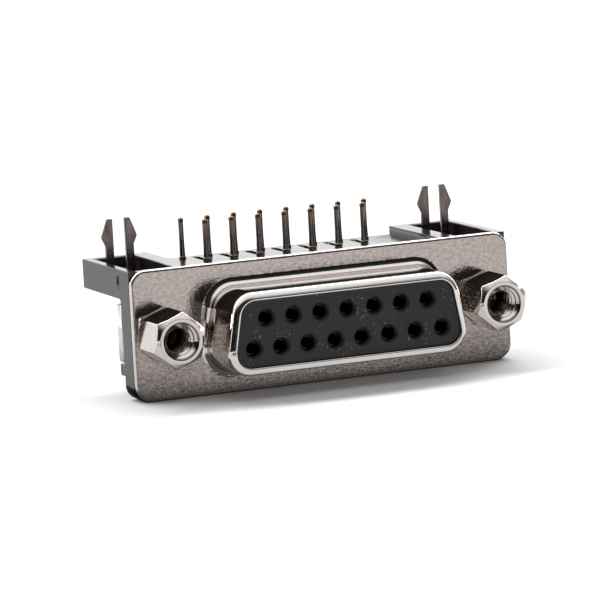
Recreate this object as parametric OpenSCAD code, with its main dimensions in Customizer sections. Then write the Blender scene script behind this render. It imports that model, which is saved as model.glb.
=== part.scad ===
// Right-angle D-sub receptacle for a circuit board, standing on the long edge of its flange.
// The mating face points to -Y, the solder tails and board locks point to +Z, and the origin
// is the centre of the D on the front face of the flange. Lengths are in millimetres.

/* [Contacts] */
// Sockets in the long row; the short row has one fewer
long_row = 8; // [5:1:13]
// Pitch of the sockets along a row
pitch = 2.77; // [2.74:0.01:2.79]
// Distance between the two rows
row_gap = 2.84; // [2.8:0.01:2.88]
// Reach of the front row of solder tails behind the flange
front_tail_y = 8.89; // [8.4:0.01:9.4]
// Reach of the rear row of solder tails behind the flange
rear_tail_y = 11.73; // [11.3:0.01:12.1]
// Length of the solder tails above the board's seat
tail_length = 3.2; // [2.6:0.1:4]

/* [Shell] */
// Thickness of the drawn steel sheet
sheet = 0.5; // [0.4:0.01:0.55]
// Height of the flange
flange_height = 12.6; // [12.4:0.1:12.9]
// Corner radius of the flange
flange_corner_r = 1.5; // [1.2:0.1:2.6]
// Height of the D, outside
d_height = 7.9; // [7.7:0.01:8.1]
// Corner radius of the D, outside
d_corner_r = 2.3; // [2:0.1:2.6]
// Lean of the D's short sides
d_side_angle = 10; // [9:0.5:11]
// Length of the D in front of the flange
shroud_length = 6.05; // [5.9:0.05:6.3]
// Width of the lip that turns in at the front of the D
lip_width = 0.78; // [0.7:0.02:0.9]

/* [Jackscrews] */
// Width of the hexagon across its flats
hex_flats = 4.76; // [4.6:0.02:5]
// Length of the hexagon
hex_length = 4.9; // [4.6:0.1:5.2]
// Turn of the left hexagon about its own axis
hex_turn_left = 10; // [0:1:59]
// Turn of the right hexagon about its own axis
hex_turn_right = 12; // [0:1:59]

/* [Bracket] */
// Thickness of the bracket's plate
plate_thickness = 2.5; // [2.2:0.1:2.8]
// Height of the board's seat above the middle of the D
seat_z = 6.2; // [6:0.05:6.25]
// Reach of the arms behind the flange
arm_y = 13.1; // [12.9:0.1:13.5]
// Height of each arm
arm_height = 2.8; // [2.6:0.1:3]
// Depth of the comb's top below the board's seat
comb_drop = 0.83; // [0.6:0.01:0.9]

/* [Board locks] */
// Thickness of the board locks' strip
strip = 0.4; // [0.35:0.01:0.45]
// Reach of the forks behind the flange
fork_y = 10.31; // [9.9:0.01:10.7]

/* [Hidden] */
$fn = 96;

// Overshoot of every cut
over = 0.5;
// Least step that keeps two faces from touching along a line
hair = 0.002;
// Running gap between a moulded piece and what it sits in
slip = 0.05;

short_row = long_row - 1;
contact_count = long_row + short_row;
d_width = (long_row - 1) * pitch + 5.27;
flange_length = d_width + 14.48;
screw_x = d_width / 2 + 4.33;

// Shell: bends and edges
root_r = 1.1;
root_lap = 0.3;
rim_r = 0.65;
edge_r = 0.25;
screw_hole_r = 1.525;

// The D's corner arcs turn about these centres, lower right first, then round to lower left
d_low_x = d_width / 2 - d_corner_r;
d_z = d_height / 2 - d_corner_r;
d_high_x = d_low_x - 2 * d_z * tan(d_side_angle);
d_centres = [[d_low_x, -d_z], [d_high_x, d_z], [-d_high_x, d_z], [-d_low_x, -d_z]];

flange_x = flange_length / 2 - flange_corner_r;
flange_z = flange_height / 2 - flange_corner_r;
flange_centres = [[flange_x, -flange_z], [flange_x, flange_z], [-flange_x, flange_z], [-flange_x, -flange_z]];

// Insulators: heights are forwards from the front of the flange
nose_front = shroud_length - sheet - slip;
face_front = shroud_length - 0.33;
nose_step = 0.22;
collar_reach = d_corner_r + 1.5;
collar_back = 0.8;
collar_half_height = d_height / 2 + 0.85;
rear_block_reach = d_corner_r + 0.15;
rear_block_end = 4.7;

// Sockets in the front insulator
socket_mouth_r = 0.92;
socket_entry_r = 0.7;
socket_cavity_r = 0.88;
socket_chamfer = 0.3;
socket_web = 0.7;

// Contacts
barrel_r = 0.8;
barrel_bore_r = 0.53;
barrel_slot = 0.22;
barrel_slot_length = 3.4;
barrel_gap = 0.12;
shank_collar = 1.4;
leg_r = 0.3;
leg_bend_r = 0.9;
tail_shoulder_r = 0.34;
tail_shoulder_height = 0.25;
tail_flare = 1.2;
tail_r = 0.25;
bead_r = 0.29;
leg_hole_r = leg_r + 0.04;

// Jackscrews and nuts: 4-40 thread
thread_r = 1.42;
shank_r = 1.4;
shank_length = 5.2;
thread_depth = 4.3;
countersink_r = 1.8;
hex_land_r = 2.12;
hex_chamfer_angle = 42;
nut_width = 5.5;
nut_thickness = 1.4;

// Bracket
plate_back = sheet + plate_thickness;
plate_hole_r = 1.55;
arm_inner_x = screw_x - 3.8;
arm_half_width = flange_length / 2 - arm_inner_x;
comb_top = seat_z - comb_drop;
comb_thickness = comb_top - d_height / 2 - 0.2;
comb_y = arm_y - 0.1;
arm_fillet_r = 0.35;
pocket_front = 1.2;
pocket_half_width = 2;
pocket_end = arm_y - 0.9;
ledge_top = -2.85;
ledge_height = 1.15;
ledge_depth = 1.1;
ledge_corner_r = 0.35;
gusset_thickness = 0.8;
gusset_inner_x = arm_inner_x + 0.04;
eject_mark_r = 0.65;
eject_mark_depth = 0.12;
slot_end_y = rear_tail_y + 0.05;

// Board locks
strap_bend_r = 0.3;
strap_top = seat_z - 1.7;
strap_half_width = 1.43;
eyelet_r = 2.7;
eyelet_hole_r = 1.5;
fork_slot_half = 0.63;
fork_slot_z = seat_z - 0.9;
fork_tip_z = seat_z + 3.95;
fork_tip_half = 1.15;
barb_half = 1.8;
barb_z = seat_z + 2.25;
barb_low_z = seat_z + 1.35;

function two_digits(n) = n < 10 ? str("0", n) : str(n);
function contact_name(n) = str("contact_", two_digits(n));

// Socket places in the D, long row first and each row from left to right
sockets = concat(
    [for (i = [0 : long_row - 1]) [(i - (long_row - 1) / 2) * pitch, -row_gap / 2, rear_tail_y]],
    [for (i = [0 : short_row - 1]) [(i - (short_row - 1) / 2) * pitch, row_gap / 2, front_tail_y]]
);

// Stands a shape drawn in x and y, with z forwards, up on the connector's face
module face_on() {
    rotate([90, 0, 0]) children();
}

// The straight side that ends at arc centre i, as a vector, and the direction that it faces
function side(centres, i) = centres[i % len(centres)] - centres[(i + len(centres) - 1) % len(centres)];
function facing(centres, i) = atan2(side(centres, i)[1], side(centres, i)[0]) - 90;

// Carries a cross-section round a closed outline of straight sides and corner arcs. The
// section's x runs outwards from the arcs' centres and its y runs forwards.
module carry_round(centres) {
    for (i = [0 : len(centres) - 1]) {
        turn = (facing(centres, i + 1) - facing(centres, i) + 360) % 360;
        translate([centres[i][0], centres[i][1], 0])
            rotate([0, 0, facing(centres, i)]) {
                rotate_extrude(angle = turn) children();
                rotate([90, 0, 0]) linear_extrude(norm(side(centres, i))) children();
            }
    }
}

// Where the straight sides meet the arcs of radius r about the centres
function arc_ends(centres, r) = [
    for (i = [0 : len(centres) - 1])
        for (angle = [facing(centres, i), facing(centres, i + 1)])
            centres[i] + r * [cos(angle), sin(angle)]
];

// Outline with arcs of radius r about the centres. Inset keeps the circles off the sides.
module outline(centres, r, inset = 0) {
    polygon(arc_ends(centres, r));
    for (centre = centres)
        translate(centre) circle(r - inset);
}

// Solid block of the D's outline, front and back measured forwards from the flange
module d_block(reach, back, front) {
    face_on()
        translate([0, 0, back])
            linear_extrude(front - back) outline(d_centres, reach, hair);
}

// Quarter of a ring on the side of its centre that side_x and side_y give as 1 or -1
module quarter_ring(outer, inner, side_x, side_y) {
    intersection() {
        difference() {
            circle(outer);
            circle(inner);
        }
        translate([min(side_x, 0) * outer, min(side_y, 0) * outer]) square(outer);
    }
}

// Square corner left over outside a quarter circle, for rounding an edge or filling a fillet
module fillet_corner(r) {
    difference() {
        square(r);
        circle(r);
    }
}

// ---- Shell ----

// Section of the drawn wall: a strip of the flange, root bend, wall, rolled rim and its lip
module shroud_section() {
    translate([d_corner_r + root_r, -sheet]) square([root_lap, sheet]);
    translate([d_corner_r + root_r, root_r])
        quarter_ring(root_r + sheet, root_r, -1, -1);
    translate([d_corner_r - sheet, root_r])
        square([sheet, shroud_length - root_r - rim_r]);
    translate([d_corner_r - rim_r, shroud_length - rim_r])
        quarter_ring(rim_r, rim_r - sheet, 1, 1);
    translate([d_corner_r - lip_width, shroud_length - sheet])
        square([lip_width - rim_r, sheet]);
}

// Section of the flange's border, with its front edge rounded over by the blanking
module flange_section() {
    difference() {
        translate([0, -sheet]) square([flange_corner_r, sheet]);
        translate([flange_corner_r - edge_r, -edge_r]) fillet_corner(edge_r);
    }
}

module flange() {
    face_on() {
        carry_round(flange_centres) flange_section();
        translate([0, 0, -sheet])
            linear_extrude(sheet) outline(flange_centres, flange_corner_r - 2 * edge_r);
    }
}

module front_shell() {
    color("#b9b1ac")
    union() {
        difference() {
            flange();
            face_on()
                translate([0, 0, -sheet - over])
                    linear_extrude(sheet + 2 * over) outline(d_centres, d_corner_r + root_r);
            for (side = [-1, 1])
                translate([side * screw_x, 0, 0])
                    face_on() cylinder(r = screw_hole_r, h = 2 * (sheet + over), center = true);
        }
        face_on() carry_round(d_centres) shroud_section();
    }
}

// ---- Insulators ----

// Space of one socket: chamfered mouth, entry in the front web, and the barrel's cavity
module socket_space() {
    slope = (socket_mouth_r - socket_entry_r) / socket_chamfer;
    rotate_extrude()
        polygon([
            [0, face_front + over],
            [socket_mouth_r + slope * over, face_front + over],
            [socket_entry_r, face_front - socket_chamfer],
            [socket_entry_r, face_front - socket_web],
            [socket_cavity_r, face_front - socket_web],
            [socket_cavity_r, -sheet - collar_back - over],
            [0, -sheet - collar_back - over]
        ]);
}

// Collar clamped between the flange and the bracket: wider than the D, flat above and below
module collar(gap, back, front) {
    half_height = collar_half_height - gap;
    intersection() {
        d_block(collar_reach - gap, back, front);
        translate([-flange_length, -front - over, -half_height])
            cube([2 * flange_length, front - back + 2 * over, 2 * half_height]);
    }
}

module front_insulator() {
    nose_reach = d_corner_r - sheet - slip;
    color("#2f3133")
    difference() {
        union() {
            d_block(nose_reach, -sheet - collar_back, nose_front - nose_step);
            d_block(nose_reach - nose_step, 0, nose_front);
            d_block(d_corner_r - lip_width - slip, 0, face_front);
            collar(slip, -sheet - collar_back, -sheet);
        }
        face_on()
            for (s = sockets)
                translate([s[0], s[1], 0]) socket_space();
    }
}

// Holds the contacts in from behind; each leg leaves through a hole with a funnel
module rear_insulator() {
    front = sheet + collar_back;
    funnel = 0.5;
    color("#2f3133")
    difference() {
        d_block(rear_block_reach, -rear_block_end, -front);
        for (s = sockets)
            translate([s[0], 0, s[1]])
                rotate([-90, 0, 0])
                    rotate_extrude()
                        polygon([
                            [0, front - over],
                            [leg_hole_r, front - over],
                            [leg_hole_r, rear_block_end - funnel],
                            [leg_hole_r + funnel, rear_block_end],
                            [leg_hole_r + funnel, rear_block_end + over],
                            [0, rear_block_end + over]
                        ]);
    }
}

// ---- Bracket ----

// Plate behind the flange: it follows the flange's lower corners and is square at the top
module bracket_plate() {
    color("#1d1d1f")
    difference() {
        face_on()
            translate([0, 0, -plate_back])
                linear_extrude(plate_thickness)
                    difference() {
                        union() {
                            translate([-flange_length / 2, -flange_z])
                                square([flange_length, flange_z + seat_z]);
                            translate([-flange_x, -flange_height / 2])
                                square([2 * flange_x, flange_height / 2]);
                            for (side = [-1, 1])
                                translate([side * flange_x, -flange_z]) circle(flange_corner_r);
                        }
                        translate([-arm_inner_x, comb_top])
                            square([2 * arm_inner_x, comb_drop + over]);
                    }
        collar(0, -sheet - collar_back, over);
        d_block(rear_block_reach + slip, -plate_back - over, over);
    }
}

// One arm with its open pocket, its fillet to the plate, the nut's ledge and a gusset
module bracket_arm(side) {
    mirror([side < 0 ? 1 : 0, 0, 0]) {
        difference() {
            translate([arm_inner_x, plate_back, seat_z - arm_height])
                cube([arm_half_width, arm_y - plate_back, arm_height]);
            translate([flange_length / 2 - eject_mark_depth, plate_back + 0.15, seat_z - 1.2])
                rotate([0, 90, 0]) cylinder(r = eject_mark_r, h = eject_mark_depth + over);
        }
        translate([arm_inner_x, plate_back, seat_z - arm_height])
            rotate([90, 0, 90])
                linear_extrude(arm_half_width)
                    translate([arm_fillet_r, -arm_fillet_r]) rotate(90) fillet_corner(arm_fillet_r);
        translate([gusset_inner_x + gusset_thickness, plate_back, ledge_top])
            rotate([90, 0, 90])
                linear_extrude(flange_length / 2 - gusset_inner_x - gusset_thickness)
                    nut_ledge_section();
        translate([gusset_inner_x, plate_back, 0])
            rotate([90, 0, 90])
                linear_extrude(gusset_thickness)
                    polygon([
                        [0, ledge_top - ledge_height],
                        [ledge_depth, ledge_top - ledge_height],
                        [arm_y - plate_back - 4, seat_z - arm_height],
                        [arm_y - plate_back - 4, comb_top - comb_thickness],
                        [0, comb_top - comb_thickness]
                    ]);
    }
}

// Section of the ledge under the nut, rounded at its lower rear edge
module nut_ledge_section() {
    difference() {
        translate([0, -ledge_height]) square([ledge_depth, ledge_height]);
        translate([ledge_depth - ledge_corner_r, ledge_corner_r - ledge_height])
            rotate(-90) fillet_corner(ledge_corner_r);
    }
}

// Comb that spaces the tails: round holes for the rear row, long slots for the front row
module bracket_comb() {
    difference() {
        translate([-arm_inner_x, plate_back, comb_top - comb_thickness])
            cube([2 * arm_inner_x, comb_y - plate_back, comb_thickness]);
        translate([0, 0, comb_top - comb_thickness - over])
            linear_extrude(comb_thickness + 2 * over)
                for (s = sockets)
                    translate([s[0], s[2]]) {
                        circle(leg_hole_r);
                        if (s[2] == front_tail_y) {
                            translate([-leg_hole_r, 0]) square([2 * leg_hole_r, slot_end_y - s[2]]);
                            translate([0, slot_end_y - s[2]]) circle(leg_hole_r);
                        }
                    }
    }
}

module bracket() {
    pocket_floor = seat_z - arm_height - arm_fillet_r - over;
    color("#1d1d1f")
    difference() {
        union() {
            bracket_plate();
            bracket_comb();
            for (side = [-1, 1]) bracket_arm(side);
        }
        for (side = [-1, 1])
            translate([side * screw_x, 0, 0]) {
                translate([-pocket_half_width, pocket_front, pocket_floor])
                    cube([2 * pocket_half_width, pocket_end - pocket_front, seat_z - pocket_floor + over]);
                translate([0, plate_back / 2, 0])
                    face_on() cylinder(r = plate_hole_r, h = plate_back + 2 * over, center = true);
            }
    }
}

// ---- Contacts ----

// Stamped socket: rolled and slotted barrel, collar, leg, bend, and a tail with a bead tip
module contact(n) {
    s = sockets[n - 1];
    tail_y = s[2];
    barrel_front = face_front - socket_web - barrel_gap;
    collar_end = sheet + collar_back - slip;
    bead_z = seat_z + tail_length - bead_r;
    color("#8a7a63")
    translate([s[0], 0, s[1]]) {
        face_on() difference() {
            rotate_extrude()
                polygon([
                    [barrel_bore_r, barrel_front],
                    [barrel_r - 0.1, barrel_front],
                    [barrel_r, barrel_front - 0.1],
                    [barrel_r, -collar_end],
                    [0, -collar_end],
                    [0, shank_collar - collar_end],
                    [barrel_bore_r, shank_collar - collar_end]
                ]);
            translate([-2 * barrel_r, -barrel_slot / 2, barrel_front - barrel_slot_length])
                cube([4 * barrel_r, barrel_slot, barrel_slot_length + over]);
        }
        translate([0, collar_end, 0])
            rotate([-90, 0, 0]) cylinder(r = leg_r, h = tail_y - leg_bend_r - collar_end);
        translate([0, tail_y - leg_bend_r, leg_bend_r])
            rotate([90, 0, 90])
                rotate([0, 0, -90])
                    rotate_extrude(angle = 90) translate([leg_bend_r, 0]) circle(leg_r);
        translate([0, tail_y, leg_bend_r])
            cylinder(r = leg_r, h = comb_top - s[1] - leg_bend_r);
        translate([0, tail_y, comb_top - s[1]])
            rotate_extrude() tail_section(bead_z - comb_top);
    }
}

// Half section of a tail above the comb: shoulder, flare, shaft and bead
module tail_section(bead_height) {
    polygon([
        [0, 0],
        [tail_shoulder_r, 0],
        [tail_shoulder_r, tail_shoulder_height - 0.06],
        [tail_shoulder_r - 0.05, tail_shoulder_height],
        [tail_r, tail_shoulder_height + tail_flare],
        [tail_r, bead_height],
        [0, bead_height]
    ]);
    intersection() {
        translate([0, bead_height]) circle(bead_r);
        translate([0, bead_height - bead_r]) square([bead_r, 2 * bead_r]);
    }
}

// ---- Fasteners ----

// Hexagon chamfered at both ends, with a countersunk threaded hole and a threaded shank behind
module jackscrew(side) {
    turn = side < 0 ? hex_turn_left : hex_turn_right;
    color("#c4c2c0")
    translate([side * screw_x, 0, 0])
        face_on()
            intersection() {
                rotate([0, 0, 90 - turn])
                    cylinder(d = hex_flats / cos(30), h = 2 * (shank_length + over), center = true, $fn = 6);
                rotate_extrude() jackscrew_section();
            }
}

// Half section through a jackscrew, wide enough that the hexagon's corners lie inside it
module jackscrew_section() {
    wide_r = hex_flats / 2 / cos(30) + over;
    fall = (wide_r - hex_land_r) * tan(hex_chamfer_angle);
    polygon([
        [0, -shank_length],
        [shank_r - 0.35, -shank_length],
        [shank_r, 0.35 - shank_length],
        [shank_r, 0],
        [hex_land_r, 0],
        [wide_r, fall],
        [wide_r, hex_length - fall],
        [hex_land_r, hex_length],
        [countersink_r, hex_length],
        [thread_r, hex_length - (countersink_r - thread_r)],
        [thread_r, hex_length - thread_depth],
        [0, hex_length - thread_depth - thread_r * tan(30)]
    ]);
}

// Square nut behind the board lock's eyelet, its hole chamfered at the back
module nut(side) {
    color("#c9c7c4")
    translate([side * screw_x, plate_back + strip, 0])
        rotate([-90, 0, 0])
            difference() {
                translate([-nut_width / 2, -nut_width / 2, 0])
                    cube([nut_width, nut_width, nut_thickness]);
                rotate_extrude()
                    polygon([
                        [0, -over],
                        [thread_r, -over],
                        [thread_r, nut_thickness - 0.25],
                        [thread_r + 0.25, nut_thickness],
                        [thread_r + 0.25, nut_thickness + over],
                        [0, nut_thickness + over]
                    ]);
            }
}

// One prong's outline, from the middle of the fork outwards
module prong() {
    polygon([
        [fork_slot_half, fork_slot_z],
        [strap_half_width, fork_slot_z],
        [strap_half_width, barb_low_z],
        [barb_half - 0.06, barb_z - 0.25],
        [barb_half, barb_z],
        [fork_tip_half, fork_tip_z],
        [fork_slot_half, fork_tip_z]
    ]);
}

// Folded strip: an eyelet under the nut, a run along the arm's pocket, and an upright fork
module board_lock(side) {
    bend_out = strap_bend_r + strip;
    fork_base_z = strap_top + strap_bend_r;
    fork_front = fork_y - strip / 2;
    color("#6f675f")
    translate([side * screw_x, 0, 0]) {
        translate([0, plate_back + strip, 0])
            rotate([90, 0, 0])
                linear_extrude(strip)
                    difference() {
                        union() {
                            circle(eyelet_r);
                            translate([-strap_half_width, 0])
                                square([2 * strap_half_width, strap_top - bend_out]);
                        }
                        circle(eyelet_hole_r);
                    }
        translate([0, plate_back + bend_out, strap_top - bend_out])
            strip_bend(90);
        translate([-strap_half_width, plate_back + bend_out, strap_top - strip])
            cube([2 * strap_half_width, fork_front - strap_bend_r - plate_back - bend_out, strip]);
        translate([0, fork_front - strap_bend_r, fork_base_z])
            strip_bend(-90);
        translate([0, fork_front + strip, 0])
            rotate([90, 0, 0])
                linear_extrude(strip) {
                    translate([-strap_half_width, fork_base_z])
                        square([2 * strap_half_width, fork_slot_z - fork_base_z]);
                    prong();
                    mirror([1, 0]) prong();
                }
    }
}

// Quarter bend of the strip about X, starting at this angle from +Y towards +Z
module strip_bend(start) {
    translate([-strap_half_width, 0, 0])
        rotate([90, 0, 90])
            rotate([0, 0, start])
                rotate_extrude(angle = 90)
                    translate([strap_bend_r, 0]) square([strip, 2 * strap_half_width]);
}

front_shell();
front_insulator();
rear_insulator();
bracket();
for (n = [1 : contact_count])
    contact(n);
jackscrew(-1);  // jackscrew_left
jackscrew(1);  // jackscrew_right
nut(-1);  // nut_left
nut(1);  // nut_right
board_lock(-1);  // board_lock_left
board_lock(1);  // board_lock_right
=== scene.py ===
import math

import bmesh
import bpy
import numpy as np
from mathutils import Matrix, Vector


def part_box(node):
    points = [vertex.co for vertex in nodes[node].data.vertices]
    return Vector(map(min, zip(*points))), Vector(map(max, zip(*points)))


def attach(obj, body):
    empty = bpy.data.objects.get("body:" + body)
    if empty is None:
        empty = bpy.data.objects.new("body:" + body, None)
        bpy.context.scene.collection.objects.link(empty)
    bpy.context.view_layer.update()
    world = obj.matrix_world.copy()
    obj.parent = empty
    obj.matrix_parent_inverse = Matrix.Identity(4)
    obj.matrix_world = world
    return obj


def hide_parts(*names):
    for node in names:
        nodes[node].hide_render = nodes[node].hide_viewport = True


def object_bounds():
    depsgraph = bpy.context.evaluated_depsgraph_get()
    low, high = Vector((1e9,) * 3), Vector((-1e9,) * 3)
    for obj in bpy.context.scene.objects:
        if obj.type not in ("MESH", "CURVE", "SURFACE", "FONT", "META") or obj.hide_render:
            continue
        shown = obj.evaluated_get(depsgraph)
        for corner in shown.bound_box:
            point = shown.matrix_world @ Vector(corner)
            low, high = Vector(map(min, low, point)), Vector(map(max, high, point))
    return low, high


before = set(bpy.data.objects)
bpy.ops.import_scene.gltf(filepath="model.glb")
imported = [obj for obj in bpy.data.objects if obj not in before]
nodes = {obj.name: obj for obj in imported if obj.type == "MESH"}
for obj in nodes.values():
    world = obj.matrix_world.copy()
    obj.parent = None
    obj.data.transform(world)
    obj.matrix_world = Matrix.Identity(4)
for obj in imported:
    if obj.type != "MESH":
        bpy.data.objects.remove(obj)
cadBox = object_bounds()
mm = 0.001
print("frame loaded,", len(nodes), "nodes")


def nodeBox(name):
    # Lowest and highest corner of a CAD node, in millimetres
    low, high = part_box(name)
    return np.array(low) / mm, np.array(high) / mm


def gridFaces(rows, columns, closedRows=False):
    # Quads between neighbours of a grid whose columns run round and join up
    row, column = np.meshgrid(np.arange(rows if closedRows else rows - 1), np.arange(columns), indexing="ij")
    below, right = (row + 1) % rows, (column + 1) % columns
    corners = [row * columns + column, row * columns + right,
               below * columns + right, below * columns + column]
    return np.stack(corners, axis=-1).reshape(-1, 4)


def addPiece(name, points, faces, material, replaced):
    # Puts points in millimetres and their faces into a smooth piece that stands for the replaced nodes
    mesh = bpy.data.meshes.new(name)
    mesh.from_pydata(points.reshape(-1, 3) * mm, [], faces)
    mesh.polygons.foreach_set("use_smooth", np.ones(len(mesh.polygons), dtype=bool))
    body = bmesh.new()
    body.from_mesh(mesh)
    bmesh.ops.recalc_face_normals(body, faces=body.faces)
    body.to_mesh(mesh)
    body.free()
    mesh.materials.append(material)
    piece = bpy.data.objects.new(name, mesh)
    bpy.context.collection.objects.link(piece)
    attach(piece, "root")
    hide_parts(*replaced)
    return piece


def evenNormals(piece):
    # Large flat faces keep their own direction, and the roundings beside them carry the turn
    modifier = piece.modifiers.new("evenNormals", "WEIGHTED_NORMAL")
    modifier.keep_sharp = True


softening = {"merge": 0.0002, "flat": 0.5, "segments": 3}  # millimetres, degrees, faces across an edge


def softenedCopy(node, name, edge, material):
    # Copy of a CAD node with its triangles merged into flat faces and its long edges rounded
    piece = nodes[node].copy()
    piece.data = nodes[node].data.copy()
    piece.name = piece.data.name = name
    bpy.context.collection.objects.link(piece)
    body = bmesh.new()
    body.from_mesh(piece.data)
    bmesh.ops.remove_doubles(body, verts=body.verts, dist=softening["merge"] * mm)
    bmesh.ops.dissolve_limit(body, angle_limit=math.radians(softening["flat"]),
                             verts=body.verts, edges=body.edges)
    weight = body.edges.layers.float.new("bevel_weight_edge")
    sharp = math.radians(edge["turn"])
    for line in body.edges:
        turned = len(line.link_faces) == 2 and line.is_convex and line.calc_face_angle() > sharp
        line[weight] = 1.0 if turned and line.calc_length() > edge["shortest"] * mm else 0.0
    body.to_mesh(piece.data)
    body.free()
    piece.data.polygons.foreach_set("use_smooth", np.ones(len(piece.data.polygons), dtype=bool))
    piece.data.materials.clear()
    piece.data.materials.append(material)
    bevel = piece.modifiers.new("edges", "BEVEL")
    bevel.width = edge["radius"] * mm
    bevel.segments = softening["segments"]
    bevel.limit_method = "WEIGHT"
    bevel.use_clamp_overlap = False
    evenNormals(piece)
    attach(piece, "root")
    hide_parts(node)


def srgb(levels):
    # Linear colour from screen levels of 0 to 255
    level = np.array(levels) / 255
    linear = np.where(level <= 0.04045, level / 12.92, ((level + 0.055) / 1.055) ** 2.4)
    return (*linear, 1.0)


def mathNode(tree, operation, first, second=0.0):
    # One step of arithmetic on numbers or on other nodes' outputs
    node = tree.nodes.new("ShaderNodeMath")
    node.operation = operation
    for socket, value in zip(node.inputs, (first, second)):
        if hasattr(value, "is_output"):
            tree.links.new(value, socket)
        else:
            socket.default_value = value
    return node.outputs[0]


class Finish:
    # A material being built: its shader, and the nodes that feed it, in millimetres of object space
    def __init__(self, name, **uniform):
        self.material = bpy.data.materials.new(name)
        self.material.use_nodes = True
        self.tree = self.material.node_tree
        self.shader = self.tree.nodes["Principled BSDF"]
        for socket, value in uniform.items():
            self.shader.inputs[socket.replace("_", " ")].default_value = value
        place = self.tree.nodes.new("ShaderNodeTexCoord")
        self.scaled = self.tree.nodes.new("ShaderNodeMapping")
        self.scaled.inputs["Scale"].default_value = (1 / mm,) * 3
        self.tree.links.new(place.outputs["Object"], self.scaled.inputs["Vector"])

    def put(self, kind, **inputs):
        # A node with each input set, or linked where its value is another node's output
        node = self.tree.nodes.new(kind)
        for socket, value in inputs.items():
            target = node.inputs[socket.replace("_", " ")]
            if hasattr(value, "is_output"):
                self.tree.links.new(value, target)
            else:
                target.default_value = value
        return node

    def axis(self, name):
        # Place along one axis of the piece
        return self.put("ShaderNodeSeparateXYZ", Vector=self.scaled.outputs["Vector"]).outputs[name]

    def noise(self, scale, detail=2.0, roughness=0.5, stretch=(1, 1, 1)):
        # Noise of about that many waves to the millimetre
        place = self.scaled.outputs["Vector"]
        if stretch != (1, 1, 1):
            place = self.put("ShaderNodeMapping", Vector=place, Scale=stretch).outputs["Vector"]
        node = self.put("ShaderNodeTexNoise", Vector=place, Scale=scale, Detail=detail, Roughness=roughness)
        return node.outputs["Fac"]

    def rise(self, value, start, end, low=0.0, high=1.0):
        # Straight from low to high as the value goes from start to end
        node = self.put("ShaderNodeMapRange", Value=value, From_Min=start, From_Max=end,
                        To_Min=low, To_Max=high)
        return node.outputs["Result"]

    def ramp(self, value, first, last, start=0.3, end=0.7):
        # From the first grey or colour to the last as the value goes from start to end
        node = self.put("ShaderNodeValToRGB", Fac=value)
        for element, position, colour in zip(node.color_ramp.elements, (start, end), (first, last)):
            element.position = position
            element.color = colour if hasattr(colour, "__len__") else (colour, colour, colour, 1)
        return node.outputs["Color"]

    def mix(self, factor, first, second):
        # The second colour laid over the first by the factor
        node = self.tree.nodes.new("ShaderNodeMix")
        node.data_type = "RGBA"
        for socket, value in ((0, factor), (6, first), (7, second)):
            if hasattr(value, "is_output"):
                self.tree.links.new(value, node.inputs[socket])
            else:
                node.inputs[socket].default_value = value
        return node.outputs[2]

    def times(self, first, second):
        return mathNode(self.tree, "MULTIPLY", first, second)

    def feed(self, socket, value):
        self.tree.links.new(value, self.shader.inputs[socket])

    def bump(self, *layers):
        # Heights in millimetres, each (value, height), laid one over the other
        normal = None
        for value, height in layers:
            node = self.put("ShaderNodeBump", Height=value, Strength=1.0, Distance=height * mm)
            if normal is not None:
                self.tree.links.new(normal, node.inputs["Normal"])
            normal = node.outputs["Normal"]
        self.feed("Normal", normal)


plating = {
    "drawn": ((243, 237, 233), (248, 243, 240)), "drawnRoughness": 0.07,
    # The flange's darker colours are painted shade, standing for the self-shadowing of its pebbling
    "shadedPebbling": ((172, 161, 156), (204, 193, 188)), "pebbledRoughness": 0.1,
    "front": (-0.16, -0.02), "back": (0.1, 0.03),  # depths over which the pebbling sets in and ends
    "pebble": 3.2, "stretch": (0.7, 1, 1), "height": 0.034,
    "low": -2.5, "lowShare": 2.6, "high": 2.5, "highShare": 0.5,  # of the height, down and up the flange
}


def makePlatedSteel():
    # Drawn sheet with a bright plating. The walls are smooth and faintly clouded, and the flange's front has
    # a pebbling, more so towards its lower edge. The flange's front is coloured darker than the walls:
    # painted shade for the self-shadowing of its pebbling
    finish = Finish("platedSteel", Metallic=1.0)
    cloud = finish.noise(0.35, 3)
    pebble = finish.noise(plating["pebble"], 3, 0.65, plating["stretch"])
    share = finish.rise(finish.axis("Z"), plating["low"], plating["high"],
                        plating["lowShare"], plating["highShare"])
    depth = finish.axis("Y")
    flange = finish.times(finish.rise(depth, *plating["front"]), finish.rise(depth, *plating["back"]))
    drawn = finish.ramp(cloud, *map(srgb, plating["drawn"]))
    shadedPebbling = finish.ramp(pebble, *map(srgb, plating["shadedPebbling"]), 0.35, 0.65)
    finish.feed("Base Color", finish.mix(flange, drawn, shadedPebbling))
    roughness = finish.ramp(flange, plating["drawnRoughness"], plating["pebbledRoughness"], 0, 1)
    finish.feed("Roughness", roughness)
    finish.bump((finish.times(pebble, finish.times(flange, share)), plating["height"]))
    return finish.material


# The darkest colour is painted shade down the jackscrews' holes
nickel = {"plated": ((230, 221, 216), (237, 230, 226)), "holeShade": (80, 72, 68), "roughness": (0.08, 0.15)}


def makeNickel():
    # Bright turned metal of the jackscrews and nuts, with faint tool marks, and painted shade that darkens it
    # down a hole
    finish = Finish("nickelPlate", Metallic=1.0)
    cloud = finish.noise(0.8, 2)
    grain = finish.noise(9, 3, 0.6)
    plated = finish.ramp(cloud, *map(srgb, nickel["plated"]))
    # Painted shade, carried on the jackscrews' points
    inside = finish.tree.nodes.new("ShaderNodeAttribute")
    inside.attribute_name = "inside"
    finish.feed("Base Color", finish.mix(inside.outputs["Fac"], plated, srgb(nickel["holeShade"])))
    finish.feed("Roughness", finish.ramp(grain, *nickel["roughness"]))
    finish.bump((grain, 0.0015))
    return finish.material


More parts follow.
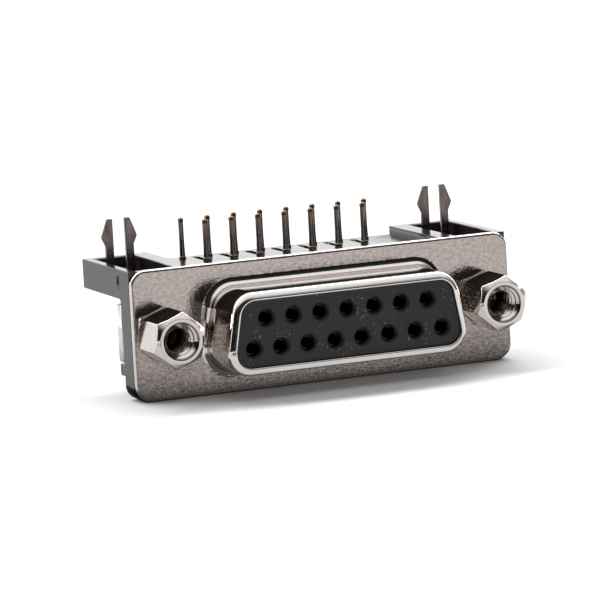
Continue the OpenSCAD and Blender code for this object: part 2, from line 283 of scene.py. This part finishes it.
tin = {
    "plated": ((104, 95, 89), (124, 114, 108)), "roughness": (0.1, 0.2),
    "inside": (52, 46, 40), "insideDepth": (3.0, 2.0),  # painted shade on the contacts in the sockets, in front of this depth
    "cut": (132, 106, 88), "cutBelow": (0.75, 0.35),  # below the tails' tips
}


def makeContactMetal():
    # Tinned copper alloy, coppery where the tails' ends were cut, with painted shade where it sits in the
    # sockets
    finish = Finish("tinnedContact", Metallic=1.0)
    cloud = finish.noise(1.2, 2)
    streak = finish.noise(6, 2, 0.5, (1, 1, 0.2))
    tipZ = nodeBox("contact_01")[1][2]
    cut = finish.rise(finish.axis("Z"), tipZ - tin["cutBelow"][0], tipZ - tin["cutBelow"][1])
    # Painted shade on the contacts where they sit in the sockets
    inside = finish.rise(finish.axis("Y"), *tin["insideDepth"])
    plated = finish.ramp(cloud, *map(srgb, tin["plated"]))
    plated = finish.mix(inside, plated, srgb(tin["inside"]))
    finish.feed("Base Color", finish.mix(cut, plated, srgb(tin["cut"])))
    finish.feed("Roughness", finish.ramp(streak, *tin["roughness"]))
    finish.bump((streak, 0.0015))
    return finish.material


lockPlating = {"streaked": ((106, 97, 94), (152, 143, 140)), "roughness": (0.24, 0.36)}


def makeLockMetal():
    # Board locks: stamped strip with a dull dark plating, rubbed bright in streaks
    finish = Finish("darkTin", Metallic=1.0)
    streak = finish.noise(2.2, 3, 0.6, (1, 1, 0.35))
    grain = finish.noise(12, 2)
    finish.feed("Base Color", finish.ramp(streak, *map(srgb, lockPlating["streaked"])))
    finish.feed("Roughness", finish.ramp(grain, *lockPlating["roughness"]))
    finish.bump((grain, 0.003))
    return finish.material


nylon = {
    "dark": ((50, 51, 54), (56, 57, 60)), "roughness": (0.42, 0.55),
    "fibre": (175, 175, 178), "fibreFrom": (0.66, 0.69), "patchFrom": (0.5, 0.58),
    "mouth": (40, 39, 39), "mouthDepth": (0.03, 0.14),  # painted shade in the sockets' openings, behind the face
}


def makeInsulatorPlastic():
    # Dark glass-filled nylon: satin, with patches of pale fibre at the surface, and painted shade in the
    # sockets' openings
    finish = Finish("insulatorPlastic", IOR=1.5)
    mottle = finish.noise(2.5, 3, 0.6)
    fibre = finish.noise(5, 2, 0.6)
    patch = finish.noise(0.45, 1)
    grain = finish.noise(8, 3, 0.6)
    face = nodeBox("front_insulator")[0][1]
    mouth = finish.rise(finish.axis("Y"), face + nylon["mouthDepth"][0], face + nylon["mouthDepth"][1])
    dark = finish.ramp(mottle, *map(srgb, nylon["dark"]))
    specks = finish.times(finish.ramp(fibre, 0, 1, *nylon["fibreFrom"]),
                          finish.ramp(patch, 0, 1, *nylon["patchFrom"]))
    speckled = finish.mix(specks, dark, srgb(nylon["fibre"]))
    finish.feed("Base Color", finish.mix(mouth, speckled, srgb(nylon["mouth"])))
    finish.feed("Roughness", finish.ramp(mottle, *nylon["roughness"]))
    finish.bump((grain, 0.006))
    return finish.material


moulding = {"black": ((42, 36, 40), (50, 44, 48)), "roughness": (0.08, 0.15), "wave": 0.02}


def makeBracketPlastic():
    # Glossy black moulding with a slight waviness
    finish = Finish("bracketPlastic", IOR=1.6)
    wave = finish.noise(0.6, 2)
    grain = finish.noise(7, 2)
    finish.feed("Base Color", finish.ramp(wave, *map(srgb, moulding["black"])))
    finish.feed("Roughness", finish.ramp(grain, *moulding["roughness"]))
    finish.bump((wave, moulding["wave"]), (grain, 0.0015))
    return finish.material


platedSteel = makePlatedSteel()
nickelPlate = makeNickel()
contactMetal = makeContactMetal()
lockMetal = makeLockMetal()
insulatorPlastic = makeInsulatorPlastic()
bracketPlastic = makeBracketPlastic()
print("materials made")


# The drawn shell, in millimetres and degrees
shell = {
    "sheet": 0.5, "lean": 10, "dHeight": 7.9, "dHalf": 12.33, "dCorner": 2.3, "flangeCorner": 1.5,
    "rootRadius": 0.9, "rimRadius": 0.85, "rimTurn": 56, "lipWidth": 0.78, "lipEdge": 0.14,
    "frontEdge": 0.25, "backEdge": 0.06,  # roundings of the flange's border
    "lift": 0.15,  # of the flange's lower border, over the plate's
    "hole": 1.525, "holeSteps": 96,
    "arcSteps": 28, "sideSteps": 14, "gap": 0.1,  # between a straight stretch and the arc beside it
    "blend": (0.02, 0.1, 0.3, 0.5, 0.7, 0.9, 0.98),  # from the D's outline to the flange's
}


def outlineWalk(centres, arcSteps, sideSteps):
    # Round the outline anticlockwise: along each straight side the centre slides and the facing
    # stays, and at each corner the centre stays and the facing turns. Gives centres and facings.
    centres = np.array(centres, dtype=float)
    before = np.roll(centres, 1, axis=0)
    along = centres - before
    facing = np.arctan2(along[:, 1], along[:, 0]) - np.pi / 2
    turn = (np.roll(facing, -1) - facing) % (2 * np.pi)
    slide = np.linspace(0, 1, sideSteps, endpoint=False)[None, :, None]
    sides = before[:, None] + along[:, None] * slide
    arcs = np.repeat(centres[:, None], arcSteps, axis=1)
    sideFacing = np.repeat(facing[:, None], sideSteps, axis=1)
    arcFacing = facing[:, None] + turn[:, None] * np.linspace(0, 1, arcSteps, endpoint=False)
    middle = np.concatenate([sides, arcs], axis=1).reshape(-1, 2)
    return middle, np.concatenate([sideFacing, arcFacing], axis=1).reshape(-1)


def arcRows(reach, forward, radius, start, end, count):
    # Rows along an arc about (reach, forward), its angle in degrees from outwards towards forwards
    angle = np.radians(np.linspace(start, end, count))
    return np.stack([reach + radius * np.cos(angle), forward + radius * np.sin(angle)], axis=1)


def sectionRows(share, dReach, fReach, forward):
    # Each row's share of the way from the D's outline to the flange's, its reach from the centres
    # of either, and how far forward it lies
    return np.stack(np.broadcast_arrays(share, dReach, fReach, forward), axis=1)


def outlinePoints(walk, reach):
    # Each row's points: the walk's centres, moved out by the row's reach the way they face
    middle, facing = walk
    return middle[None] + reach[..., None] * np.stack([np.cos(facing), np.sin(facing)], axis=-1)[None]


def cutHoles(piece):
    # Takes a round hole out of the flange on each jackscrew's axis
    body = bmesh.new()
    for side in ("left", "right"):
        low, high = nodeBox("jackscrew_" + side)
        middle = (low + high) / 2 * mm
        place = Matrix.Translation((middle[0], 0, middle[2])) @ Matrix.Rotation(math.pi / 2, 4, "X")
        bmesh.ops.create_cone(body, cap_ends=True, segments=shell["holeSteps"], radius1=shell["hole"] * mm,
                              radius2=shell["hole"] * mm, depth=6 * shell["sheet"] * mm, matrix=place)
    mesh = bpy.data.meshes.new("cutter")
    body.to_mesh(mesh)
    body.free()
    cutter = bpy.data.objects.new("cutter", mesh)
    bpy.context.collection.objects.link(cutter)
    cut = piece.modifiers.new("cut", "BOOLEAN")
    cut.operation = "DIFFERENCE"
    cut.solver = "EXACT"
    cut.object = cutter
    bpy.context.view_layer.update()
    finished = bpy.data.meshes.new_from_object(piece.evaluated_get(bpy.context.evaluated_depsgraph_get()))
    piece.modifiers.remove(cut)
    piece.data = finished
    bpy.data.objects.remove(cutter)


def makeShell():
    # The sheet's closed section is carried round the D. On the flange the D's outline blends
    # evenly into the flange's own outline, so each point lies between the two.
    low, high = nodeBox("front_shell")
    length, sheet, gap = -low[1], shell["sheet"], shell["gap"]
    rearZ = shell["dHeight"] / 2 - shell["dCorner"]
    wideX = shell["dHalf"] - shell["dCorner"]
    narrowX = wideX - 2 * rearZ * math.tan(math.radians(shell["lean"]))
    dWalk = outlineWalk([[wideX, -rearZ], [narrowX, rearZ], [-narrowX, rearZ], [-wideX, -rearZ]],
                        shell["arcSteps"], shell["sideSteps"])
    cornerX, cornerZ = high[0] - shell["flangeCorner"], high[2] - shell["flangeCorner"]
    lowZ = shell["lift"] - cornerZ
    fWalk = outlineWalk([[cornerX, lowZ], [cornerX, cornerZ], [-cornerX, cornerZ], [-cornerX, lowZ]],
                        shell["arcSteps"], shell["sideSteps"])
    border, front, back = shell["flangeCorner"], shell["frontEdge"], shell["backEdge"]
    wall, rootRadius, rimRadius = shell["dCorner"], shell["rootRadius"], shell["rimRadius"]
    root, rim = wall + rootRadius, wall - rimRadius
    # The rim's roll stops at rimTurn and runs on straight to the lip's rounded edge
    edge, rimTurn = shell["lipEdge"], shell["rimTurn"]
    slope = math.radians(rimTurn)
    edgeReach, edgeForward = wall - shell["lipWidth"] + edge, length - edge
    rimForward = edgeForward - ((rimRadius - edge) / math.sin(slope) - (edgeReach - rim) / math.tan(slope))
    innerForward = edgeForward - (sheet - 2 * edge) / math.sin(slope)
    borderRows = np.concatenate([
        arcRows(border - front, -front, front, 90, 0, 9),
        arcRows(border - back, back - sheet, back, 0, -90, 5),
    ])
    wallRows = np.concatenate([
        arcRows(root, rootRadius, rootRadius + sheet, -90, -180, 17),
        np.linspace([wall - sheet, rootRadius + 2 * gap], [wall - sheet, rimForward - gap], 5),
        arcRows(rim, rimForward, rimRadius - sheet, 0, rimTurn, 7),
        arcRows(edgeReach, innerForward, edge, rimTurn - 180, -180, 7),
        arcRows(edgeReach, edgeForward, edge, 180, rimTurn, 9),
        arcRows(rim, rimForward, rimRadius, rimTurn, 0, 19),
        np.linspace([wall, rimForward - gap], [wall, rootRadius + gap], 7),
        arcRows(root, rootRadius, rootRadius, 180, 270, 21),
    ])
    blend = np.array(shell["blend"])
    rows = np.concatenate([
        sectionRows(blend, root, border - front, 0),
        sectionRows(1, root, borderRows[:, 0], borderRows[:, 1]),
        sectionRows(blend[::-1], root, border - back, -sheet),
        sectionRows(0, wallRows[:, 0], 0, wallRows[:, 1]),
    ])
    share, dReach, fReach, forward = (rows[:, i][:, None] for i in range(4))
    part = share[..., None]
    flat = (1 - part) * outlinePoints(dWalk, dReach) + part * outlinePoints(fWalk, fReach)
    depth = np.broadcast_to(-forward, flat.shape[:2])
    points = np.stack([flat[..., 0], depth, flat[..., 1]], axis=-1)
    piece = addPiece("drawnShell", points, gridFaces(*flat.shape[:2], True), platedSteel,
                     ["front_shell"])
    cutHoles(piece)
    evenNormals(piece)


makeShell()
print("shell drawn")


# The jackscrews, in millimetres and degrees
screw = {
    "flats": 4.76, "land": 2.12, "chamfer": 42, "turns": {"left": 10, "right": 12},
    "sharpness": 110,  # of the hexagon's corners
    "meet": 0.02,  # rounding where two surfaces run into each other
    "countersink": 1.8, "boreRadius": 1.42, "crestRadius": 1.15, "boreDepth": 4.3,
    "pitch": 0.635, "flank": 1.25, "crestFlat": 0.1,
    "shankCrest": 1.4, "shankRoot": 1.12, "shankLength": 5.2, "shankPoint": 0.35,
    "holeShadeStart": 1.2, "fade": 2.4, "mouthRing": 0.16,  # painted shade: how the hole darkens inwards from its opening, and a dark ring just within its opening
    "aroundPerSide": 44, "gather": 0.8, "chamferRows": 34, "sideRows": 6,
}


def hexRadius(angle, turn):
    # Distance to the hexagon's sides in each direction, its corners slightly rounded: a high
    # power sum of the six sides' distances takes the place of their least one
    side = np.radians(turn + 60 * np.arange(6))
    closeness = np.clip(np.cos(angle[:, None] - side[None]), 0, None)
    return screw["flats"] / 2 / (closeness ** screw["sharpness"]).sum(axis=1) ** (1 / screw["sharpness"])


def threadHeight(forward, angle):
    # 0 at a thread's root and 1 at its crest, rising and falling evenly along a right-hand helix
    phase = (forward / screw["pitch"] - angle / (2 * np.pi)) % 1
    return np.clip(screw["flank"] * (1 - np.abs(2 * phase - 1)) - screw["crestFlat"], 0, 1)


def softGreatest(first, second):
    # The greater of two radii, with a small rounding where they cross
    return screw["meet"] * np.logaddexp(first / screw["meet"], second / screw["meet"])


def makeScrew(side, node):
    # Radius as a function of direction and of place along the section: shank, hexagon, chamfers,
    # countersink, threaded hole and its drilled end
    low, high = nodeBox(node)
    middle, length = (low + high) / 2, -low[1]
    wide = screw["flats"] / 2 / math.cos(math.pi / 6)
    fall = (wide - screw["land"]) * math.tan(math.radians(screw["chamfer"]))
    # Directions run round side by side, and crowd towards each corner
    sector = np.linspace(-1, 1, screw["aroundPerSide"], endpoint=False)
    sector = np.radians(30) * (sector + screw["gather"] * np.sin(np.pi * sector) / np.pi)
    turn = 120 - screw["turns"][side]
    angle = (sector[None] + np.radians(turn + 60 * np.arange(6))[:, None]).reshape(-1)
    across = hexRadius(angle, turn)

    def turned(radius, forward):
        # Plain rings, the same in every direction
        radius, forward = np.broadcast_arrays(np.asarray(radius, dtype=float),
                                              np.asarray(forward, dtype=float))
        return np.broadcast_to(radius[:, None], (len(radius), len(angle))), forward

    shankForward = np.arange(-screw["shankLength"] + screw["shankPoint"], -0.02, screw["pitch"] / 12)
    shankRadius = screw["shankRoot"] + (screw["shankCrest"] - screw["shankRoot"]) * threadHeight(
        shankForward[:, None], angle[None])
    outside = np.concatenate([
        np.linspace(0.004, fall + 0.06, screw["chamferRows"]),
        np.linspace(fall + 0.2, length - fall - 0.2, screw["sideRows"]),
        np.linspace(length - fall - 0.06, length - 0.004, screw["chamferRows"]),
    ])
    slope = 1 / math.tan(math.radians(screw["chamfer"]))
    cone = screw["land"] + slope * np.minimum(outside, length - outside)
    hexagon = -softGreatest(-across[None], -cone[:, None])
    boreForward = np.arange(length - 0.02, length - screw["boreDepth"], -screw["pitch"] / 16)
    bore = screw["boreRadius"] - (screw["boreRadius"] - screw["crestRadius"]) * threadHeight(
        boreForward[:, None], angle[None])
    bore = softGreatest(bore, screw["countersink"] - (length - boreForward)[:, None])
    bands = [
        turned([0.3, 0.9, 1.0, 1.05], -screw["shankLength"]),
        turned([1.08], -screw["shankLength"] + 0.03),
        (shankRadius, shankForward),
        turned([screw["shankRoot"], screw["shankRoot"] + 0.02, 1.6, screw["land"] - 0.04], [-0.02, 0, 0, 0]),
        (hexagon, outside),
        turned([screw["land"] - 0.03, screw["land"] - 0.08, screw["countersink"] + 0.06,
                screw["countersink"] + 0.015], length - np.array([0, 0, 0, 0.004])),
        (bore, boreForward),
        turned([1.15, 0.6, 0.15], length - screw["boreDepth"] - np.array([0.05, 0.4, 0.62])),
    ]
    radius = np.concatenate([band[0] for band in bands])
    forward = np.concatenate([band[1] for band in bands])
    ring = np.stack([middle[0] + radius * np.cos(angle), np.broadcast_to(-forward[:, None], radius.shape),
                     middle[2] + radius * np.sin(angle)], axis=-1).reshape(-1, 3)
    count, last = len(angle), len(ring)
    poles = np.array([[middle[0], screw["shankLength"], middle[2]],
                      [middle[0], -(length - screw["boreDepth"] - 0.7), middle[2]]])
    around = np.arange(count)
    start = np.stack([around, (around + 1) % count, np.full(count, last)], axis=1)
    end = np.stack([last - count + around, last - count + (around + 1) % count,
                    np.full(count, last + 1)], axis=1)
    faces = gridFaces(len(forward), count).tolist() + start.tolist() + end.tolist()
    piece = addPiece("turnedJackscrew_" + side, np.concatenate([ring, poles]), faces, nickelPlate,
                     [node])
    # Painted shade by how deep each point lies in the hole: the bore's rings and the three of its drilled end
    hole = np.arange(len(forward)) >= len(forward) - len(boreForward) - 3
    dark = np.where(hole, np.clip((length - screw["holeShadeStart"] - forward) / screw["fade"], 0, 1), 0)
    dark = np.where(hole & (forward > length - screw["mouthRing"]), 0.8, dark)
    inside = np.concatenate([np.repeat(dark, count), [0, 1]])
    piece.data.attributes.new("inside", "FLOAT", "POINT").data.foreach_set("value", inside)


for side in ("left", "right"):
    makeScrew(side, "jackscrew_" + side)
print("jackscrews turned")


# Rounded edges, in millimetres and degrees
edges = {
    "bracket": {"radius": 0.1, "turn": 30, "shortest": 0.3},
    "nut": {"radius": 0.16, "turn": 60, "shortest": 2.0},
    "lock": {"radius": 0.06, "turn": 40, "shortest": 0.2},
}

softenedCopy("bracket", "mouldedBracket", edges["bracket"], bracketPlastic)
for side in ("left", "right"):
    softenedCopy("nut_" + side, "squareNut_" + side, edges["nut"], nickelPlate)
    softenedCopy("board_lock_" + side, "foldedLock_" + side, edges["lock"], lockMetal)
print("bracket, nuts and board locks softened")


def dress(name, material):
    # CAD nodes that only need a finish
    nodes[name].data.materials.clear()
    nodes[name].data.materials.append(material)


for name in nodes:
    if name.startswith("contact_"):
        dress(name, contactMetal)
    if name.endswith("_insulator"):
        dress(name, insulatorPlastic)
print("contacts and insulators finished")


# Lengths in millimetres, from the D's middle
table = {
    "half": 1600, "whiteShown": 0.84,
    "white": 0.87, "shade": 0.1,  # the glow that the part sees, at its most and its least
    "shadeFrom": 12, "shadeTo": 48, "shadeOffset": -17, "shadeWidth": 52,
    # Painted shade close to the part, and a painted shadow underneath it
    "near": 0.74, "nearMiddle": 8, "nearSpan": (4, 26),
    "under": 0.12, "underSide": (19.5, 24), "underMiddle": 3.5, "underDepth": (7, 9.5),
}


def product(tree, first, *others):
    # The first value multiplied by each of the others in turn
    for other in others:
        first = mathNode(tree, "MULTIPLY", first, other)
    return first


def distance(tree, value, middle):
    # How far a value is from the middle, on either side
    return mathNode(tree, "ABSOLUTE", mathNode(tree, "SUBTRACT", value, middle))


def smoothRange(tree, value, source, target):
    # Eases from the target's first value to its second as the value goes across the source
    node = tree.nodes.new("ShaderNodeMapRange")
    node.interpolation_type = "SMOOTHSTEP"
    for socket, number in zip(("From Min", "From Max", "To Min", "To Max"), (*source, *target)):
        node.inputs[socket].default_value = number
    tree.links.new(value, node.inputs["Value"])
    return node.outputs["Result"]


def makeGlow(tree):
    # What the part sees of the table: a glow that shines as a lamp, with a painted shadow underneath the
    # part, painted shade close by, and painted shade along the line towards the camera, which stands in the
    # light
    place = tree.nodes.new("ShaderNodeMapping")
    place.inputs["Scale"].default_value = (1 / mm,) * 3
    tree.links.new(tree.nodes.new("ShaderNodeTexCoord").outputs["Object"], place.inputs["Vector"])
    parts = tree.nodes.new("ShaderNodeSeparateXYZ")
    tree.links.new(place.outputs["Vector"], parts.inputs[0])
    x, y = parts.outputs["X"], parts.outputs["Y"]
    sine, cosine = math.sin(math.radians(view["azimuth"])), math.cos(math.radians(view["azimuth"]))
    across = mathNode(tree, "ADD", product(tree, x, cosine), product(tree, y, sine))
    towards = mathNode(tree, "SUBTRACT", product(tree, x, sine), product(tree, y, cosine))
    beside = smoothRange(tree, distance(tree, across, table["shadeOffset"]), (table["shadeWidth"], 0), (0, 1))
    ahead = smoothRange(tree, towards, (table["shadeFrom"], table["shadeTo"]), (0, 1))
    dulled = smoothRange(tree, product(tree, beside, ahead), (0, 1), (table["white"], table["shade"]))
    close = smoothRange(tree, distance(tree, towards, table["nearMiddle"]), table["nearSpan"],
                        (table["near"], 1))
    lengthwise = smoothRange(tree, distance(tree, x, 0), table["underSide"], (1, 0))
    crosswise = smoothRange(tree, distance(tree, y, table["underMiddle"]), table["underDepth"], (1, 0))
    under = smoothRange(tree, product(tree, lengthwise, crosswise), (0, 1), (1, table["under"]))
    glow = tree.nodes.new("ShaderNodeEmission")
    tree.links.new(product(tree, dulled, close, under), glow.inputs["Color"])
    return glow


def makeTable():
    # One flat sheet under the part. The camera sees it white apart from the part's shadow, and the part sees
    # its glow, which carries painted shade
    half, height = table["half"] * mm, cadBox[0][2]
    corners = [[-half, -half, height], [half, -half, height], [half, half, height], [-half, half, height]]
    mesh = bpy.data.meshes.new("table")
    mesh.from_pydata(np.array(corners), [], [[0, 1, 2, 3]])
    paper = bpy.data.materials.new("tablePaper")
    paper.use_nodes = True
    tree = paper.node_tree
    tree.nodes.remove(tree.nodes["Principled BSDF"])
    diffuse = tree.nodes.new("ShaderNodeBsdfDiffuse")
    diffuse.inputs["Color"].default_value = (*(table["whiteShown"],) * 3, 1)
    seen = tree.nodes.new("ShaderNodeMixShader")
    tree.links.new(tree.nodes.new("ShaderNodeLightPath").outputs["Is Camera Ray"], seen.inputs[0])
    tree.links.new(makeGlow(tree).outputs[0], seen.inputs[1])
    tree.links.new(diffuse.outputs[0], seen.inputs[2])
    tree.links.new(seen.outputs[0], tree.nodes["Material Output"].inputs["Surface"])
    mesh.materials.append(paper)
    piece = bpy.data.objects.new("table", mesh)
    bpy.context.collection.objects.link(piece)


# Levels by the share of the way from the horizon in front, over the top, to the one behind
light = {
    "strength": 9.0,
    "levels": [(0.0, 0.002), (0.28, 0.003), (0.345, 0.09), (0.5, 0.1), (0.595, 0.08),
               (0.63, 1.2), (0.67, 1.2), (0.71, 0.07), (0.88, 0.09), (0.95, 0.165)],
    "side": (0.6, 0.92), "sideLevel": 0.35,
}


def makeWorld():
    # Brightness by the angle over the part from front to back, less towards the two sides
    world = bpy.data.worlds.new("studio")
    bpy.context.scene.world = world
    world.use_nodes = True
    tree = world.node_tree
    parts = tree.nodes.new("ShaderNodeSeparateXYZ")
    tree.links.new(tree.nodes.new("ShaderNodeTexCoord").outputs["Generated"], parts.inputs[0])
    rise = mathNode(tree, "ARCTAN2", parts.outputs["Z"], product(tree, parts.outputs["Y"], -1))
    ramp = tree.nodes.new("ShaderNodeValToRGB")
    tree.links.new(mathNode(tree, "DIVIDE", rise, math.pi), ramp.inputs[0])
    while len(ramp.color_ramp.elements) < len(light["levels"]):
        ramp.color_ramp.elements.new(0.5)
    for element, (position, level) in zip(ramp.color_ramp.elements, light["levels"]):
        element.position = position
        element.color = (level, level, level, 1)
    tree.links.new(ramp.outputs["Color"], tree.nodes["Background"].inputs["Color"])
    strength = smoothRange(tree, distance(tree, parts.outputs["X"], 0), light["side"],
                           (light["strength"], light["strength"] * light["sideLevel"]))
    tree.links.new(strength, tree.nodes["Background"].inputs["Strength"])


# Degrees and millimetres, apart from the clip distances in metres
view = {
    "azimuth": -22.441, "elevation": 8.268, "roll": -3.132, "distance": 423.41,
    "target": (-2.479, 0, 1.851), "lens": 266.4, "sensor": 36, "clip": (0.02, 10),
}


def makeCamera():
    # The camera looks at the target from its azimuth and elevation, then rolls about its own axis
    azimuth, elevation, roll = (math.radians(view[name]) for name in ("azimuth", "elevation", "roll"))
    level = math.cos(elevation)
    back = np.array([math.sin(azimuth) * level, -math.cos(azimuth) * level, math.sin(elevation)])
    right = np.array([math.cos(azimuth), math.sin(azimuth), 0])
    up = np.cross(back, right)
    rolledRight = math.cos(roll) * right + math.sin(roll) * up
    rolledUp = math.cos(roll) * up - math.sin(roll) * right
    place = (np.array(view["target"]) + back * view["distance"]) * mm
    camera = bpy.data.objects.new("camera", bpy.data.cameras.new("camera"))
    bpy.context.collection.objects.link(camera)
    camera.data.sensor_width = view["sensor"]
    camera.data.lens = view["lens"]
    camera.data.clip_start, camera.data.clip_end = view["clip"]
    turned = np.eye(4)
    turned[:3, 0], turned[:3, 1], turned[:3, 2], turned[:3, 3] = rolledRight, rolledUp, back, place
    camera.matrix_world = Matrix(turned.tolist())
    bpy.context.scene.camera = camera


makeTable()
makeWorld()
makeCamera()
bpy.context.scene.view_settings.view_transform = "Standard"
print("table, light and camera set")
